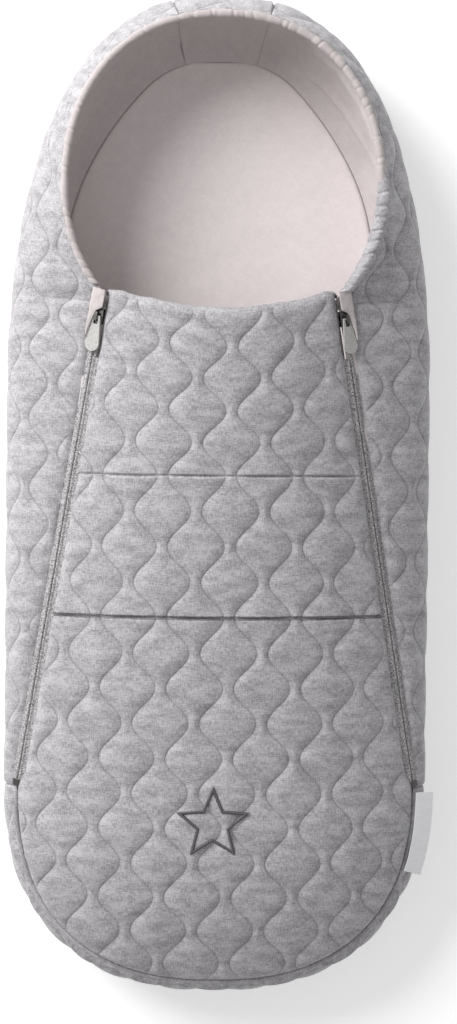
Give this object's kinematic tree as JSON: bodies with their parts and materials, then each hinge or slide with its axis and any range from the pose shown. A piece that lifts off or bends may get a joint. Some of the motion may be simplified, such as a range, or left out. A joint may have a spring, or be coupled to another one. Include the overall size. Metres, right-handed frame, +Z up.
{
  "type": "baby sleeping bag",
  "caption": "Quilted padded newborn sleeping bag with an open hood, a front cover that unzips down both sides and folds back, and harness slots in its base.",
  "frame": {"origin": "middle of the flat underside, halfway between the hood end and the foot end", "axes": "+X to the right seen from above, +Y towards the hood, +Z up"},
  "size_m": [0.342, 0.7899, 0.1292],
  "materials": {
    "shell_jersey": "heather grey knitted jersey, quilted in an onion lattice",
    "lining_jersey": "soft warm beige jersey",
    "wadding": "polyester wadding, hidden",
    "zip": "grey coil zip on woven tape",
    "slider_metal": "dark nickel lacquer",
    "pull": "grey rubber-coated tab",
    "label": "white woven tape",
    "thread": "dark grey satin stitch"
  },
  "bodies": {
    "bag": {"back_panel": "shell_jersey", "mattress_pad": "wadding", "floor_lining": "lining_jersey", "slot_binding_shoulder_right": "lining_jersey", "slot_binding_shoulder_left": "lining_jersey", "slot_binding_waist_right": "lining_jersey", "slot_binding_waist_left": "lining_jersey", "slot_binding_crotch": "lining_jersey", "side_shell_right": "shell_jersey", "side_shell_left": "shell_jersey", "hood_shell": "shell_jersey", "foot_wall_shell": "shell_jersey", "side_wadding_right": "wadding", "side_wadding_left": "wadding", "hood_wadding": "wadding", "foot_wall_wadding": "wadding", "side_lining_right": "lining_jersey", "side_lining_left": "lining_jersey", "hood_lining": "lining_jersey", "foot_wall_lining": "lining_jersey", "foot_cover_shell": "shell_jersey", "foot_cover_wadding": "wadding", "foot_cover_lining": "lining_jersey", "zip_side_right": "zip", "zip_side_left": "zip", "zip_foot_right": "zip", "zip_foot_left": "zip", "top_stop_right": "slider_metal", "top_stop_left": "slider_metal", "bottom_stop_right": "slider_metal", "bottom_stop_left": "slider_metal", "zip_garage_right": "lining_jersey", "zip_garage_left": "lining_jersey", "hood_rim_roll": "lining_jersey", "hood_elastic": "label", "side_label": "label", "care_label": "label", "star_embroidery": "thread"},
    "lapel": {"lapel_shell": "shell_jersey", "lapel_wadding": "wadding", "lapel_lining": "lining_jersey", "zip_lapel_right": "zip", "zip_lapel_left": "zip", "neck_roll": "lining_jersey"},
    "apron": {"apron_shell": "shell_jersey", "apron_wadding": "wadding", "apron_lining": "lining_jersey", "zip_apron_right": "zip", "zip_apron_left": "zip"},
    "slider_right": {"slider_right": "slider_metal"},
    "slider_left": {"slider_left": "slider_metal"},
    "pull_right": {"pull_right": "pull"},
    "pull_left": {"pull_left": "pull"}
  },
  "joints": [
    {"name": "apron_open", "type": "hinge", "parent": "bag", "child": "apron", "pos_m": [0, -0.19, 0.10382], "axis": [1, 0, 0], "range_deg": [0, 140]},
    {"name": "lapel_fold", "type": "hinge", "parent": "apron", "child": "lapel", "pos_m": [0, 0.019, 0.12057], "axis": [1, 0, 0], "range_deg": [0, 170]},
    {"name": "slider_right_travel", "type": "slide", "parent": "bag", "child": "slider_right", "axis": [0.1672, -0.9807, -0.1014], "range_m": [0, 0.366]},
    {"name": "slider_left_travel", "type": "slide", "parent": "bag", "child": "slider_left", "axis": [-0.1672, -0.9807, -0.1014], "range_m": [0, 0.366]},
    {"name": "pull_right_swing", "type": "hinge", "parent": "slider_right", "child": "pull_right", "pos_m": [0.09681, 0.1413, 0.10438], "axis": [-0.8529, -0.1955, 0.4842], "range_deg": [0, 135]},
    {"name": "pull_left_swing", "type": "hinge", "parent": "slider_left", "child": "pull_left", "pos_m": [-0.09681, 0.1413, 0.10438], "axis": [-0.8529, 0.1955, -0.4842], "range_deg": [0, 135]}
  ]
}
